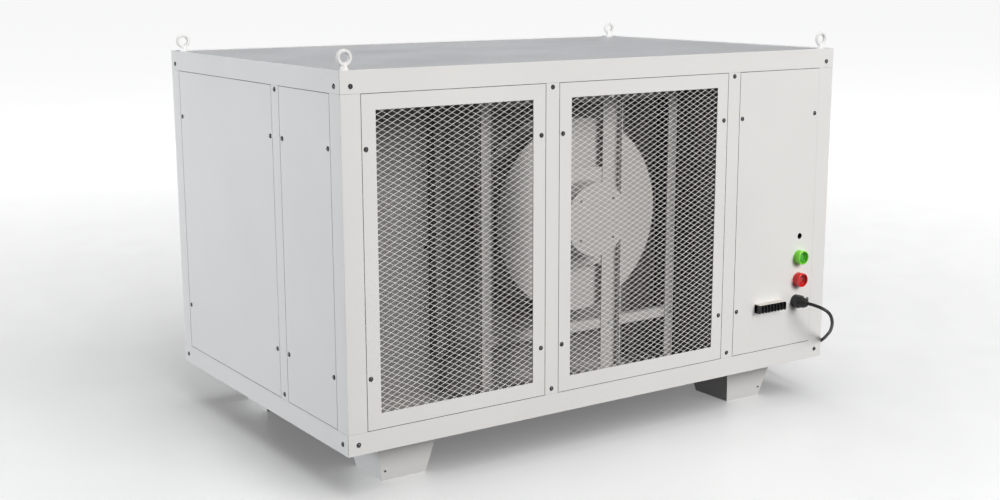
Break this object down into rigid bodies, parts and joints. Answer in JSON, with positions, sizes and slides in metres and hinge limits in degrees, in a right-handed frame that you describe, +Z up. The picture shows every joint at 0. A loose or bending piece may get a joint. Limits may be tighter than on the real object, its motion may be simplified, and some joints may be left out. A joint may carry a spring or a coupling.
{
  "type": "evaporative cooler",
  "caption": "White sheet-metal evaporative air cooler on tapered feet, with mesh air grilles, a direct-driven fan, water tank and pads, lifting eyes and a power cable.",
  "frame": {"origin": "on the floor, under the middle of the cabinet, level with the bottom of the feet", "axes": "+X to the right seen from the front, +Y from the front with the grilles to the back, +Z up"},
  "size_m": [1.6266, 1.0795, 1.0075],
  "materials": {
    "white_paint": "fine powder coat, semi-gloss",
    "roof_paint": "matt grained coat",
    "inner_paint": "powder coat, satin",
    "mesh_paint": "powder-coated expanded metal",
    "zinc": "zinc-plated",
    "screw_chrome": "bright nickel-plated",
    "shaft_steel": "turned",
    "stainless": "stainless, satin",
    "black_plastic": "moulded",
    "lens_green": "translucent",
    "lens_red": "translucent",
    "grey_plastic": "moulded",
    "pipe_plastic": "extruded pipe",
    "cable_rubber": "smooth sheath",
    "pad_paper": "fluted cellulose",
    "brass": "turned",
    "float_plastic": "moulded"
  },
  "bodies": {
    "cabinet": {"feet": "white_paint", "base_pan": "inner_paint", "bottom_rails": "white_paint", "top_rails": "white_paint", "corner_brackets": "zinc", "corner_posts": "white_paint", "front_post_left": "white_paint", "front_post_right": "white_paint", "side_posts": "white_paint", "rear_post": "white_paint", "top_panel": "roof_paint", "side_panel_left_front": "white_paint", "side_panel_left_rear": "white_paint", "side_panel_right_front": "white_paint", "side_panel_right_rear": "white_paint", "grille_frame_left": "white_paint", "grille_frame_right": "white_paint", "grille_mesh_left": "mesh_paint", "grille_mesh_right": "mesh_paint", "control_door": "white_paint", "bulkhead": "inner_paint", "partition": "inner_paint", "inlet_box": "inner_paint", "inlet_ring": "inner_paint", "motor": "inner_paint", "motor_plate": "inner_paint", "motor_rails": "inner_paint", "fan_posts": "inner_paint", "crossbars": "inner_paint", "lifting_eyes": "white_paint", "cabinet_screws": "screw_chrome", "fan_bolts": "zinc", "switch_bodies": "black_plastic", "terminal_block": "black_plastic", "cable_gland": "black_plastic", "power_cable": "cable_rubber", "cable_coil": "cable_rubber", "plug": "black_plastic", "control_plate": "zinc", "switchgear": "grey_plastic", "intake_louvre_left": "white_paint", "intake_louvre_right": "white_paint", "pad_left": "pad_paper", "pad_right": "pad_paper", "pad_channels": "stainless", "sump": "stainless", "water_header": "pipe_plastic", "riser_pipe": "pipe_plastic", "pump_body": "black_plastic", "inlet_pipe": "brass", "float_valve": "brass", "drain_spigot": "pipe_plastic", "overflow_pipe": "pipe_plastic"},
    "fan_rotor": {"fan_wheel": "inner_paint", "fan_shaft": "shaft_steel"},
    "start_cap": {"start_button": "lens_green"},
    "stop_cap": {"stop_button": "lens_red"},
    "float_lever": {"float_arm": "brass", "float_ball": "float_plastic"},
    "pump_rotor": {"pump_impeller": "black_plastic"}
  },
  "joints": [
    {"name": "fan_spin", "type": "hinge", "parent": "cabinet", "child": "fan_rotor", "pos_m": [0, -0.32, 0.564], "axis": [0, 1, 0], "continuous": true},
    {"name": "start_press", "type": "slide", "parent": "cabinet", "child": "start_cap", "axis": [0, 1, 0], "range_m": [0, 0.003], "stiffness_N_per_m": 400},
    {"name": "stop_press", "type": "slide", "parent": "cabinet", "child": "stop_cap", "axis": [0, 1, 0], "range_m": [0, 0.003], "stiffness_N_per_m": 400},
    {"name": "float_swing", "type": "hinge", "parent": "cabinet", "child": "float_lever", "pos_m": [0.622, 0.28, 0.226], "axis": [0, 1, 0], "range_deg": [0, 14]},
    {"name": "impeller_spin", "type": "hinge", "parent": "cabinet", "child": "pump_rotor", "pos_m": [0.62, -0.01, 0.144], "axis": [0, 0, 1], "continuous": true}
  ]
}
